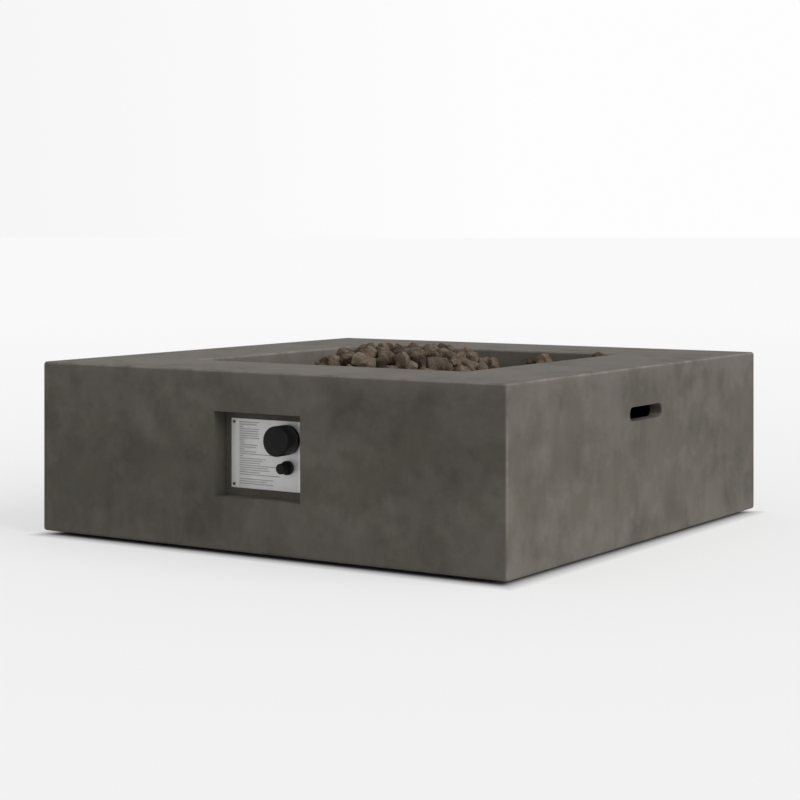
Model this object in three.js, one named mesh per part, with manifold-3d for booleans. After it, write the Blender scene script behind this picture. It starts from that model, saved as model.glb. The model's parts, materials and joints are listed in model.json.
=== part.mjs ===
// A low, square gas fire table: a cast concrete shell with a drop-in burner pan, a rock grate
// under a heap of lava rock, and a control plate with a push-and-turn knob and a push igniter.
// Millimetres, +Z up, front (control side) facing -Y. The origin is on the ground at the centre
// of the whole object's plan, so the shell sits half the knob's overhang behind it.
import * as THREE from 'three';
import { mergeVertices } from 'three/addons/utils/BufferGeometryUtils.js';
import Module from 'manifold-3d';

const wasm = await Module();
wasm.setup();

// Driving dimensions
const gap = 0.3;                  // clearance between pieces that touch on the real object

const tableSide = 1067;           // outside width and depth
const tableHeight = 344.5;        // ground to the top of the deck
const footHeight = 7.5;           // glide pad under the shell
const wallThickness = 25;         // cast outer wall
const deckThickness = 32;         // cast top slab
const edgeRadius = 6;             // rounding of every outside edge
const openingSide = 635;          // fire opening in the deck
const openingCornerRadius = 10;

const apronWall = 25;             // cast wall that hangs down round the opening
const ledgeDepth = 90;            // top of the pan ledge below the deck
const ledgeWidth = 28;
const ledgeThickness = 24;

const recessWidth = 199;          // pocket in the front face for the controls
const recessHeight = 159.5;
const recessDrop = 157.25;        // deck's top down to the pocket's centre
const plateFaceDepth = 36;        // control plate's face behind the shell's front face
const pocketWall = 22;            // concrete behind and beside the pocket

const slotLength = 138;           // hand slot through each side wall
const slotHeight = 27;
const slotDrop = 88.8;            // deck's top down to the slot's centre
const slotCornerRadius = 12;

const footPadRadius = 28;
const footInset = 62;             // pad centre from the outside faces
const cornerBlockSide = 95;
const cornerBlockHeight = 60;
const footScrewRadius = 2.5;
const footScrewReach = 26;        // into the shell

const plateWidth = 172.5;
const plateHeight = 130;
const plateThickness = 1.5;
const plateFlangeWidth = 17;      // side strips, one plate thickness behind the middle
const plateScrewInset = 6.7;
const plateScrewRadius = 1.8;
const plateScrewHeadRadius = 3;
const plateScrewLength = 16;
const windowMarginSide = 14.2;    // plate overlap on the concrete round the window
const windowMarginEnd = 9;

const controlOffset = 46.2;       // knob and igniter axes right of the plate's centre
const knobRise = 31.05;           // knob axis above the plate's centre
const igniterFall = 20.65;        // igniter axis below the plate's centre
const knobRadius = 28.2;
const knobFaceOffset = 44;        // knob's face in front of the plate
const bezelThickness = 3;
const bezelBore = 18.5;
const knobRim = 3;                // rounding round the knob's face
const knobHub = 8;
const knobSocketDepth = 12;       // knob's face to the stem's end
const pressTravel = 3;            // knob and igniter both push in this far
const knobWall = 3;
const stemRadius = 4;
const stemFlat = 1.2;             // depth of the flat on the D-shaped stem

const valveWidth = 40;
const valveDepth = 42;
const valveHeight = 38;
const valveNeckLength = 12;
const valveBossRadius = 9;
const valveNeckRadius = 18.5;
const valveOutletLength = 14;
const valveInletLength = 6;
const valveInletDepth = 22;       // inlet axis behind the valve's front
const valveScrewRadius = 1.5;
const valveScrewOffset = 14;
const sensorBossOffset = [-14, 11];
const sensorBossLength = 5;
const plugRadius = 9;
const plugLength = 17;

const collarRadius = 13.1;
const collarLength = 8;
const buttonRadius = 9.9;
const buttonFaceOffset = 26.4;    // igniter button's face in front of the plate
const igniterBarrelRadius = 11.6;
const igniterBarrelLength = 60;
const batteryRadius = 7.1;
const batteryLength = 50;

const panFlangeGap = 3;           // pan flange to the well's wall
const panSheet = 2;
const panDepth = 60;
const panBodyGap = 7.5;           // pan body to the ledge's edge
const burnerRingRadius = 150;
const burnerTubeRadius = 9.5;
const burnerTubeWall = 1.5;
const burnerClearance = 20;       // ring's centre line above the pan's floor
const burnerPortCount = 24;
const burnerPortRadius = 1.6;
const hubRadius = 11;
const hubWall = 2.5;
const hubDrop = 24;               // hub below the pan's floor
const hubNutHeight = 8;

const mixerRadius = 15;
const mixerLength = 52;
const shutterWall = 1.6;
const shutterHeight = 20;
const airWindowHeight = 12;
const airWindowWidth = 12;
const orificeBodyLength = 32;
const orificePortRise = 10;       // gas port above the orifice body's foot
const orificeReach = 26;          // gas port's end from the axis
const gasLineRadius = 4.75;

const sensorSpacing = 60;         // between the electrode and the thermocouple
const sensorClearance = 18.5;     // from the burner ring's outside
const insulatorRadius = 4;
const insulatorLength = 52;
const insulatorDrop = 14;         // below the pan's floor
const leadDrop = 12.8;            // leads run this far below the insulator's foot
const probeRadius = 3;

const shieldSide = 400;
const shieldSheet = 1.2;
const shieldDrop = 34;            // heat shield below the pan
const standoffSpacing = 340;
const standoffStudRadius = 2.7;

const grateBar = 6;
const grateFrame = 10;
const grateClear = 21;            // largest space between bars
const grateBarDrop = 0.6;         // bars below the frame's top
const grateEdgeGap = 8;           // grate frame to the well's wall

const rockEdgeGap = 9;
const rockLayer = 33;             // rock spread over the whole grate
const rockHeapRadius = 208;
const rockHeapPower = 3;          // 2 would be a round dome, more is flatter on top
const rockHeapShift = [-10, -7];  // heap's centre from the well's
const rockHeapRise = 32;          // top of the heap above the deck

// Levels and faces worked out from them
const half = tableSide / 2;
const shellBottom = footHeight + gap;
const deckBottom = tableHeight - deckThickness;
const openingHalf = openingSide / 2;
const apronHalf = openingHalf + apronWall;
const ledgeTop = tableHeight - ledgeDepth;
const ledgeHalf = openingHalf - ledgeWidth;
const frontFace = -half;
const plateFace = frontFace + plateFaceDepth;
const plateBack = plateFace + plateThickness;
const recessBack = plateBack + gap;
const recessCentreHeight = tableHeight - recessDrop;
const recessBottom = recessCentreHeight - recessHeight / 2;
const slotCentreHeight = tableHeight - slotDrop;
const knobHeight = recessCentreHeight + knobRise;
const igniterHeight = recessCentreHeight - igniterFall;
const plateScrewX = plateWidth / 2 - plateScrewInset;
const plateScrewZ = plateHeight / 2 - plateScrewInset;
const windowWidth = plateWidth - 2 * windowMarginSide;
const windowHeight = plateHeight - 2 * windowMarginEnd;
const footCentre = half - footInset;
const knobFace = plateFace - knobFaceOffset;
const knobOverhang = Math.max(0, frontFace - knobFace);
const panFlangeBottom = ledgeTop + gap;
const panFlangeTop = panFlangeBottom + panSheet;
const panHalf = ledgeHalf - panBodyGap;
const panFloorBottom = panFlangeBottom - panDepth;
const panFloorTop = panFloorBottom + panSheet;
const burnerCentre = panFloorTop + burnerClearance;
const hubBottom = panFloorBottom - hubDrop;
const grateBottom = panFlangeTop + gap;
const grateTop = grateBottom + grateFrame;
const grateHalf = openingHalf - grateEdgeGap;
const rockBottom = grateTop + gap;
const rockHalf = openingHalf - rockEdgeGap;
const shieldTop = panFloorBottom - shieldDrop;
const shieldBottom = shieldTop - shieldSheet;
const mixerTop = panFloorBottom - hubNutHeight - gap;
const mixerBottom = mixerTop - mixerLength;
const orificeTop = mixerBottom - gap;
const orificePort = orificeTop - orificeBodyLength + orificePortRise;
const sensorY = -(burnerRingRadius + burnerTubeRadius + sensorClearance);
const insulatorBottom = panFloorBottom - insulatorDrop;
const insulatorTop = insulatorBottom + insulatorLength;
const valveFront = plateBack + gap + valveNeckLength;
const valveBack = valveFront + valveDepth;
const valveOutletHeight = knobHeight - 5;
const stemBoreRadius = stemRadius + 0.5;
const barrelBack = plateFace + igniterBarrelLength;
const leadLevel = insulatorBottom - leadDrop;

// Helpers
function toSolid(geometry) {
  const plain = geometry.index ? geometry.clone() : geometry;
  plain.deleteAttribute('normal');
  plain.deleteAttribute('uv');
  const merged = mergeVertices(plain, 1e-4);
  return new wasm.Manifold(new wasm.Mesh({
    numProp: 3,
    vertProperties: new Float32Array(merged.attributes.position.array),
    triVerts: new Uint32Array(merged.index.array),
  }));
}

function toGeometry(solid) {
  const mesh = solid.getMesh();
  const geometry = new THREE.BufferGeometry();
  geometry.setAttribute('position', new THREE.BufferAttribute(new Float32Array(mesh.vertProperties), 3));
  geometry.setIndex(new THREE.BufferAttribute(new Uint32Array(mesh.triVerts), 1));
  geometry.computeVertexNormals();
  return geometry;
}

const union = (...solids) => solids.flat().reduce((sum, next) => sum.add(next));
const cut = (body, ...tools) => tools.flat().reduce((rest, tool) => rest.subtract(tool), body);

function block(low, high) {
  const size = high.map((value, i) => value - low[i]);
  const geometry = new THREE.BoxGeometry(...size);
  geometry.translate(...low.map((value, i) => value + size[i] / 2));
  return toSolid(geometry);
}

// A round bar between two values on one axis; centre holds the other two coordinates.
function bar(axis, radius, from, to, centre, sides = 24) {
  const geometry = new THREE.CylinderGeometry(radius, radius, to - from, sides);
  const middle = (from + to) / 2;
  if (axis === 'x') {
    geometry.rotateZ(-Math.PI / 2).translate(middle, centre[0], centre[1]);
  } else if (axis === 'y') {
    geometry.translate(centre[0], middle, centre[1]);
  } else {
    geometry.rotateX(Math.PI / 2).translate(centre[0], centre[1], middle);
  }
  return toSolid(geometry);
}

const hexBar = (axis, acrossFlats, from, to, centre) =>
  bar(axis, acrossFlats / Math.sqrt(3), from, to, centre, 6);

function roundedRectangle(width, height, radius) {
  const x = width / 2;
  const y = height / 2;
  const shape = new THREE.Shape();
  shape.moveTo(-x + radius, -y);
  shape.lineTo(x - radius, -y);
  shape.absarc(x - radius, -y + radius, radius, -Math.PI / 2, 0);
  shape.lineTo(x, y - radius);
  shape.absarc(x - radius, y - radius, radius, 0, Math.PI / 2);
  shape.lineTo(-x + radius, y);
  shape.absarc(-x + radius, y - radius, radius, Math.PI / 2, Math.PI);
  shape.lineTo(-x, -y + radius);
  shape.absarc(-x + radius, -y + radius, radius, Math.PI, 1.5 * Math.PI);
  return shape;
}

// A square body drawn up through [half side, height] stations, its corners rounded by cornerRadius
// at the first station and growing or shrinking with the sides after that.
function squareLoft(stations, cornerRadius, cornerSteps = 6) {
  const core = stations[0][0] - cornerRadius;
  const positions = [];
  const index = [];
  const ringSize = 4 * (cornerSteps + 1);
  for (const [halfSide, height] of stations) {
    const radius = halfSide - core;
    for (let corner = 0; corner < 4; corner += 1) {
      for (let step = 0; step <= cornerSteps; step += 1) {
        const angle = (corner + step / cornerSteps) * Math.PI / 2;
        const sideX = corner === 0 || corner === 3 ? 1 : -1;
        const sideY = corner < 2 ? 1 : -1;
        const along = [radius * Math.cos(angle), radius * Math.sin(angle)];
        positions.push(sideX * core + along[0], sideY * core + along[1], height);
      }
    }
  }
  for (let ring = 0; ring + 1 < stations.length; ring += 1) {
    for (let i = 0; i < ringSize; i += 1) {
      const a = ring * ringSize + i;
      const b = ring * ringSize + (i + 1) % ringSize;
      index.push(a, b, b + ringSize, a, b + ringSize, a + ringSize);
    }
  }
  const lowCentre = stations.length * ringSize;
  positions.push(0, 0, stations[0][1], 0, 0, stations[stations.length - 1][1]);
  const topRing = (stations.length - 1) * ringSize;
  for (let i = 0; i < ringSize; i += 1) {
    const next = (i + 1) % ringSize;
    index.push(lowCentre, next, i, lowCentre + 1, topRing + i, topRing + next);
  }
  const geometry = new THREE.BufferGeometry();
  geometry.setAttribute('position', new THREE.BufferAttribute(new Float32Array(positions), 3));
  geometry.setIndex(index);
  return toSolid(geometry);
}

// Stations of a quarter round, from the side (turn 0) to the flat (turn 1).
function quarterRound(steps, place) {
  return Array.from({ length: steps + 1 }, (_, i) => place((i / steps) * Math.PI / 2));
}

function turned(points, axis, centre, sides = 40) {
  const geometry = new THREE.LatheGeometry(points.map(([r, h]) => new THREE.Vector2(r, h)), sides);
  if (axis === 'y') {
    geometry.translate(centre[0], 0, centre[1]);
  } else {
    geometry.rotateX(Math.PI / 2).translate(centre[0], centre[1], 0);
  }
  return toSolid(geometry);
}

function tubeAlong(points, radius, sides, steps) {
  const through = points.map((p) => new THREE.Vector3(...p));
  const curve = new THREE.CatmullRomCurve3(through, false, 'centripetal');
  const section = new THREE.Shape();
  for (let i = 0; i < sides; i += 1) {
    const angle = (i / sides) * 2 * Math.PI;
    const at = [radius * Math.cos(angle), radius * Math.sin(angle)];
    if (i === 0) {
      section.moveTo(...at);
    } else {
      section.lineTo(...at);
    }
  }
  section.closePath();
  return toSolid(new THREE.ExtrudeGeometry(section, { steps, extrudePath: curve, bevelEnabled: false }));
}

const fourCorners = (x, y = x) => [[x, y], [-x, y], [-x, -y], [x, -y]];

// Materials
const finish = (color, roughness, metalness) => {
  return new THREE.MeshStandardMaterial({ color, roughness, metalness });
};
const materials = {
  concrete: finish('#5d574f', 0.8, 0),
  stainless: finish('#b9b9b6', 0.35, 1),
  galvanised: finish('#9a9d9e', 0.5, 1),
  grateSteel: finish('#2b2a29', 0.6, 0.7),
  blackPlastic: finish('#161616', 0.45, 0),
  brass: finish('#b08d4a', 0.35, 1),
  aluminium: finish('#a9abac', 0.4, 1),
  ceramic: finish('#e8e2d6', 0.4, 0),
  darkScrew: finish('#3a3834', 0.4, 0.9),
  rubber: finish('#1b1b1b', 0.85, 0),
  leadJacket: finish('#2a1512', 0.6, 0),
  copper: finish('#a8623c', 0.35, 1),
  battery: finish('#6f7276', 0.3, 0.4),
  lavaRock: finish('#6b5645', 0.95, 0),
};

const firePit = new THREE.Group();
firePit.position.y = knobOverhang / 2;

function addPiece(name, material, solid) {
  const mesh = new THREE.Mesh(toGeometry(solid), material);
  mesh.name = name;
  firePit.add(mesh);
}

// Concrete shell
function concreteShell() {
  const cornerRadius = edgeRadius + 1;
  const bottomRound = quarterRound(4, (t) => [
    half - edgeRadius * (1 - Math.sin(t)), shellBottom + edgeRadius * (1 - Math.cos(t))]);
  const topRound = quarterRound(4, (t) => [
    half - edgeRadius * (1 - Math.cos(t)), tableHeight - edgeRadius * (1 - Math.sin(t))]);
  const outside = squareLoft([...bottomRound, ...topRound], cornerRadius - edgeRadius);
  const hollow = block(
    [-half + wallThickness, -half + wallThickness, shellBottom - 1],
    [half - wallThickness, half - wallThickness, deckBottom]);

  const apron = block(
    [-apronHalf, -apronHalf, ledgeTop - ledgeThickness], [apronHalf, apronHalf, deckBottom + 1]);
  const wellRound = quarterRound(4, (t) => [
    openingHalf + edgeRadius * (1 - Math.cos(t)), tableHeight - edgeRadius * (1 - Math.sin(t))]);
  const well = squareLoft(
    [[openingHalf, ledgeTop], ...wellRound, [openingHalf + edgeRadius, tableHeight + 1]],
    openingCornerRadius);
  const ledgeHole = squareLoft(
    [[ledgeHalf, ledgeTop - ledgeThickness - 1], [ledgeHalf, ledgeTop + 1]], openingCornerRadius);

  const pocket = block(
    [-recessWidth / 2 - pocketWall, frontFace + wallThickness - 1, recessBottom - pocketWall],
    [recessWidth / 2 + pocketWall, recessBack + pocketWall, recessBottom + recessHeight + pocketWall]);
  const recess = block(
    [-recessWidth / 2, frontFace - 1, recessBottom],
    [recessWidth / 2, recessBack, recessBottom + recessHeight]);
  const window = block(
    [-windowWidth / 2, recessBack - 1, recessCentreHeight - windowHeight / 2],
    [windowWidth / 2, recessBack + pocketWall + 1, recessCentreHeight + windowHeight / 2]);
  const plateScrewHoles = fourCorners(plateScrewX, plateScrewZ).map(([x, z]) => bar(
    'y', plateScrewRadius + gap, recessBack - 1, plateFace + plateScrewLength + 2,
    [x, recessCentreHeight + z], 12));

  const blocks = fourCorners(1).map(([sx, sy]) => {
    const outer = half - wallThickness + 1;
    const inner = half - cornerBlockSide;
    const alongX = [sx * inner, sx * outer].sort((a, b) => a - b);
    const alongY = [sy * inner, sy * outer].sort((a, b) => a - b);
    return block(
      [alongX[0], alongY[0], shellBottom], [alongX[1], alongY[1], shellBottom + cornerBlockHeight]);
  });
  const footHoles = fourCorners(footCentre).map((centre) => bar(
    'z', footScrewRadius + gap, shellBottom - 1, shellBottom + footScrewReach + 4, centre, 12));

  const slot = new THREE.ExtrudeGeometry(
    roundedRectangle(slotLength, slotHeight, slotCornerRadius),
    { depth: tableSide + 2, bevelEnabled: false, curveSegments: 8 });
  slot.rotateX(Math.PI / 2).rotateZ(Math.PI / 2).translate(-half - 1, 0, slotCentreHeight);
  const slotReach = half - wallThickness - 5;
  const slotLow = slotCentreHeight - slotHeight;
  const slotHigh = slotCentreHeight + slotHeight;
  const sideOnly = union(
    block([-half - 2, -slotLength, slotLow], [-slotReach, slotLength, slotHigh]),
    block([slotReach, -slotLength, slotLow], [half + 2, slotLength, slotHigh]));
  const slots = toSolid(slot).intersect(sideOnly);

  const casting = union(cut(outside, hollow), apron, pocket, blocks);
  return cut(casting, well, ledgeHole, recess, window, plateScrewHoles, footHoles, slots);
}

// Glides under the corners
const footPad = ([x, y]) => cut(
  bar('z', footPadRadius, 0, footHeight, [x, y], 24),
  bar('z', footScrewRadius + gap, -1, footHeight + 1, [x, y], 12),
  bar('z', 2 * footScrewRadius + gap, -1, footHeight / 2, [x, y], 12));

const footScrew = ([x, y]) => union(
  bar('z', 2 * footScrewRadius, 1.2, footHeight / 2 - gap, [x, y], 12),
  bar('z', footScrewRadius, 1.2, shellBottom + footScrewReach, [x, y], 12));

// Control plate and its screws
function controlPlate() {
  const low = recessCentreHeight - plateHeight / 2;
  const high = recessCentreHeight + plateHeight / 2;
  const middle = plateWidth / 2 - plateFlangeWidth;
  const sheet = block(
    [-plateWidth / 2, plateFace + plateThickness / 2, low], [plateWidth / 2, plateBack, high]);
  const raised = block([-middle, plateFace, low], [middle, plateBack, high]);
  const screwHoles = fourCorners(plateScrewX, plateScrewZ).map(([x, z]) => bar(
    'y', plateScrewRadius + gap, plateFace - 1, plateBack + 1, [x, recessCentreHeight + z], 12));
  const valveScrewHoles = [-1, 1].map((side) => bar(
    'y', valveScrewRadius + gap, plateFace - 1, plateBack + 1,
    [controlOffset + side * valveScrewOffset, knobHeight], 12));
  return cut(
    union(sheet, raised), screwHoles, valveScrewHoles,
    bar('y', stemRadius + 1.5, plateFace - 1, plateBack + 1, [controlOffset, knobHeight], 24),
    bar('y', igniterBarrelRadius + gap, plateFace - 1, plateBack + 1, [controlOffset, igniterHeight], 32));
}

function plateScrew([x, z]) {
  const centre = [x, recessCentreHeight + z];
  const headBack = plateFace + plateThickness / 2 - gap;
  return union(
    turned([[0, headBack - 1.8], [1.8, headBack - 1.5], [plateScrewHeadRadius, headBack - 0.4],
      [plateScrewHeadRadius, headBack], [0, headBack]], 'y', centre, 16),
    bar('y', plateScrewRadius, headBack - 0.5, plateFace + plateScrewLength, centre, 12));
}

// Gas valve
const controlAxis = [controlOffset, knobHeight];
const plugFront = valveFront + 6;
const plugBack = plugFront + plugLength;
const outletAxis = [controlOffset, valveOutletHeight];
const inletAxis = [valveFront + valveInletDepth, valveOutletHeight];
const inletEnd = controlOffset - valveWidth / 2 - valveInletLength;
const sensorBossAxis = [controlOffset + sensorBossOffset[0], knobHeight + sensorBossOffset[1]];

function valveBody() {
  const main = block(
    [controlOffset - valveWidth / 2, valveFront, knobHeight - valveHeight / 2],
    [controlOffset + valveWidth / 2, valveBack, knobHeight + valveHeight / 2]);
  const neck = bar('y', valveNeckRadius, plateBack + gap, valveFront + 1, controlAxis, 32);
  const outlet = bar('y', valveBossRadius, valveBack - 1, valveBack + valveOutletLength, outletAxis);
  const inlet = bar('x', valveBossRadius, inletEnd, inletEnd + valveInletLength + 1, inletAxis);
  const sensorBoss = bar('y', 5, valveBack - 1, valveBack + sensorBossLength, sensorBossAxis, 16);
  const plugSeat = bar('y', plugRadius + 0.4, plugFront - gap, plugBack + gap, controlAxis, 32);
  const stemBore = bar('y', stemBoreRadius, plateBack - 1, plugFront, controlAxis, 24);
  const screwHoles = [-1, 1].map((side) => bar(
    'y', valveScrewRadius + gap, plateBack - 1, plateBack + 10,
    [controlOffset + side * valveScrewOffset, knobHeight], 12));
  const gasWay = bar('y', 3.5, valveBack + 2, valveBack + valveOutletLength + 1, outletAxis, 16);
  return cut(union(main, neck, outlet, inlet, sensorBoss), plugSeat, stemBore, screwHoles, gasWay);
}

// D-shaped bar along Y: the shape of the stem, and of the holes that it drives.
function dBar(radius, flat, from, to) {
  const round = bar('y', radius, from, to, controlAxis, 24);
  const top = knobHeight + radius - flat;
  return cut(round, block(
    [controlOffset - radius - 1, from - 1, top], [controlOffset + radius + 1, to + 1, top + radius]));
}

const stemHole = (from, to) => dBar(stemRadius + gap, stemFlat, from, to);
const valvePlug = () => cut(
  bar('y', plugRadius, plugFront, plugBack, controlAxis, 32),
  stemHole(plugFront - 1, plugBack + 1));
const valveStem = () => dBar(stemRadius, stemFlat, knobFace + knobSocketDepth, plugBack - pressTravel - 2);

const valveScrew = (side) => {
  const centre = [controlOffset + side * valveScrewOffset, knobHeight];
  return union(
    bar('y', 2.8, plateFace - gap - 1.6, plateFace - gap, centre, 16),
    bar('y', valveScrewRadius, plateFace - gap - 1, plateBack + 8, centre, 12));
};

function knobBezel() {
  const back = plateFace - gap;
  const front = plateFace - bezelThickness;
  return turned([
    [bezelBore, front], [knobRadius - 2, front], [knobRadius - 1, front + 1], [knobRadius - 1, back],
    [bezelBore, back], [bezelBore, front]], 'y', controlAxis);
}

function controlKnob() {
  const back = plateFace - bezelThickness - pressTravel - gap;
  const inside = knobFace + 9;
  const face = quarterRound(4, (t) => [
    knobRadius - knobRim * (1 - Math.sin(t)), knobFace + 1 + knobRim * (1 - Math.cos(t))]);
  const body = turned([
    [0, knobFace], [knobRadius * 0.55, knobFace + 0.35], ...face,
    [knobRadius, back], [knobRadius - knobWall, back], [knobRadius - knobWall, inside],
    [knobHub, inside], [knobHub, back - 4], [0, back - 4]], 'y', controlAxis);
  return cut(body, stemHole(knobFace + knobSocketDepth - gap, back));
}

// Push igniter
const igniterAxis = [controlOffset, igniterHeight];
const barrelBore = buttonRadius + 0.3;

function igniterHousing() {
  const collarFront = plateFace - collarLength;
  const shell = turned([
    [barrelBore, collarFront], [collarRadius - 1, collarFront], [collarRadius, collarFront + 1],
    [collarRadius, plateFace - gap], [igniterBarrelRadius, plateFace - gap],
    [igniterBarrelRadius, barrelBack],
    [0, barrelBack], [0, barrelBack - 2.5], [barrelBore, barrelBack - 2.5], [barrelBore, collarFront]],
  'y', igniterAxis, 32);
  const tabs = [-4, 4].map((offset) => block(
    [controlOffset + offset - 0.5, barrelBack - 0.5, igniterHeight - 2.5],
    [controlOffset + offset + 0.5, barrelBack + 6, igniterHeight + 2.5]));
  return union(shell, tabs);
}

const igniterNut = () => cut(
  hexBar('y', 30, plateBack + gap, plateBack + 6, igniterAxis),
  bar('y', igniterBarrelRadius + gap, plateBack - 1, plateBack + 7, igniterAxis, 32));

const buttonBack = plateFace + 3;
const batteryFront = buttonBack + pressTravel + gap;
const buttonFace = plateFace - buttonFaceOffset;
const igniterButton = () => turned([
  [0, buttonFace], [buttonRadius - 3, buttonFace + 0.3], [buttonRadius - 1, buttonFace + 0.9],
  [buttonRadius, buttonFace + 2.2], [buttonRadius, buttonBack], [0, buttonBack]], 'y', igniterAxis, 32);

const igniterBattery = () => union(
  bar('y', batteryRadius, batteryFront + 1, batteryFront + batteryLength - 1, igniterAxis, 24),
  bar('y', 2.7, batteryFront, batteryFront + 2, igniterAxis, 12));

// Burner pan, grate and rock
function burnerPan() {
  const flangeHalf = openingHalf - panFlangeGap;
  const flange = squareLoft([[flangeHalf, panFlangeBottom], [flangeHalf, panFlangeTop]], 8, 4);
  const tray = squareLoft([[panHalf, panFloorBottom], [panHalf, panFlangeTop]], 12, 4);
  const insideHalf = panHalf - panSheet;
  const inside = squareLoft([[insideHalf, panFloorTop], [insideHalf, panFlangeTop + 1]], 10, 4);
  const floorHole = (radius, centre, sides) => {
    return bar('z', radius, panFloorBottom - 1, panFloorTop + 1, centre, sides);
  };
  const drainPlaces = fourCorners(panHalf * 0.8).concat(fourCorners(panHalf * 0.55));
  const drains = drainPlaces.map((at) => floorHole(4, at, 10));
  const studs = fourCorners(standoffSpacing / 2).map((at) => floorHole(standoffStudRadius + gap, at, 10));
  const sensors = [-1, 1].map((side) => {
    return floorHole(insulatorRadius + 1, [side * sensorSpacing / 2, sensorY], 16);
  });
  return cut(union(flange, tray), inside, drains, studs, sensors, floorHole(hubRadius + gap, [0, 0], 32));
}

function burner() {
  const ring = (radius, sides) => {
    const geometry = new THREE.TorusGeometry(burnerRingRadius, radius, sides, 36);
    return toSolid(geometry.translate(0, 0, burnerCentre));
  };
  const arm = (radius, reach) => bar('x', radius, -reach, reach, [0, burnerCentre], 12);
  const hub = bar('z', hubRadius, hubBottom, burnerCentre + 8, [0, 0]);
  const seat = bar('z', 20, panFloorTop + gap, panFloorTop + 3.5, [0, 0], 32);
  const metal = union(ring(burnerTubeRadius, 10), arm(8, burnerRingRadius), hub, seat);
  const gasWay = union(
    ring(burnerTubeRadius - burnerTubeWall, 8), arm(6.5, burnerRingRadius),
    bar('z', hubRadius - hubWall, hubBottom - 1, burnerCentre + 5, [0, 0]));
  const ports = Array.from({ length: burnerPortCount }, (_, i) => {
    const angle = ((i + 0.5) / burnerPortCount) * 2 * Math.PI;
    const at = [burnerRingRadius * Math.cos(angle), burnerRingRadius * Math.sin(angle)];
    return bar('z', burnerPortRadius, burnerCentre, burnerCentre + burnerTubeRadius + 1, at, 4);
  });
  return cut(metal, gasWay, ports);
}

const hubNut = () => cut(
  hexBar('z', 32, panFloorBottom - hubNutHeight, panFloorBottom - gap, [0, 0]),
  bar('z', hubRadius + gap, panFloorBottom - hubNutHeight - 1, panFloorBottom, [0, 0], 32));

function rockGrate() {
  const inner = grateHalf - grateFrame;
  const frame = cut(
    block([-grateHalf, -grateHalf, grateBottom], [grateHalf, grateHalf, grateTop]),
    block([-inner, -inner, grateBottom - 1], [inner, inner, grateTop + 1]));
  const spaces = Math.ceil((2 * inner + grateBar) / (grateClear + grateBar));
  const pitch = (2 * inner + grateBar) / spaces;
  const barTop = grateTop - grateBarDrop;
  const bars = Array.from({ length: spaces - 1 }, (_, i) => {
    const x = -inner - grateBar / 2 + pitch * (i + 1);
    return block([x - grateBar / 2, -inner - 1, barTop - grateBar], [x + grateBar / 2, inner + 1, barTop]);
  });
  const crossBars = [-1, 1].map((side) => block(
    [-inner - 2, side * inner / 3 - grateBar / 2, grateBottom + grateBarDrop],
    [inner + 2, side * inner / 3 + grateBar / 2, barTop - grateBar / 2]));
  return union(frame, bars, crossBars);
}

function lavaRockBed() {
  const layerTop = rockBottom + rockLayer;
  const heapTop = tableHeight + rockHeapRise;
  const layer = squareLoft(
    [[rockHalf, rockBottom], [rockHalf, layerTop - 8], [rockHalf - 10, layerTop]], 24, 4);
  const heapBottom = rockBottom + 5;
  const profile = quarterRound(8, (t) => [
    rockHeapRadius * Math.cos(t) ** (2 / rockHeapPower),
    heapBottom + (heapTop - heapBottom) * Math.sin(t) ** (2 / rockHeapPower)]);
  const outline = [[0, heapBottom], ...profile.slice(0, -1), [0, heapTop]];
  return union(layer, turned(outline, 'z', rockHeapShift, 32));
}

// Gas train under the pan
const airWindows = (radius, bottom) => [0, 1].map((turn) => {
  const reach = radius + 3;
  const low = [-airWindowWidth / 2, -reach, bottom];
  const high = [airWindowWidth / 2, reach, bottom + airWindowHeight];
  return turn ? block([low[1], low[0], low[2]], [high[1], high[0], high[2]]) : block(low, high);
});

function mixerTube() {
  const tube = cut(
    bar('z', mixerRadius, mixerBottom, mixerTop, [0, 0], 32),
    bar('z', hubRadius + gap, hubBottom - gap, mixerTop + 1, [0, 0], 32),
    bar('z', hubRadius - hubWall, mixerBottom - 1, hubBottom, [0, 0], 24));
  return cut(tube, airWindows(mixerRadius, mixerBottom + 5));
}

function airShutter() {
  const bottom = mixerBottom + 1;
  const bore = mixerRadius + gap;
  const sleeve = cut(
    bar('z', bore + shutterWall, bottom, bottom + shutterHeight, [0, 0], 32),
    bar('z', bore, bottom - 1, bottom + shutterHeight + 1, [0, 0], 32));
  const tab = block([bore + 0.5, -4, bottom + shutterHeight - 2], [bore + 13, 4, bottom + shutterHeight]);
  return union(cut(sleeve, airWindows(bore + shutterWall, mixerBottom + 5)), tab);
}

function gasOrifice() {
  const low = orificeTop - orificeBodyLength;
  const body = union(
    hexBar('z', 24, low, orificeTop, [0, 0]),
    bar('z', 6, orificeTop - 1, orificeTop + 8, [0, 0], 16),
    bar('y', 8, -orificeReach, -5, [0, orificePort], 20));
  return cut(
    body,
    bar('z', 1, orificePort, orificeTop + 9, [0, 0], 8),
    bar('y', 3, -orificeReach - 1, 0, [0, orificePort], 12));
}

// A value some share of the way from one number to another.
const between = (from, to, share) => from + (to - from) * share;

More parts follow.
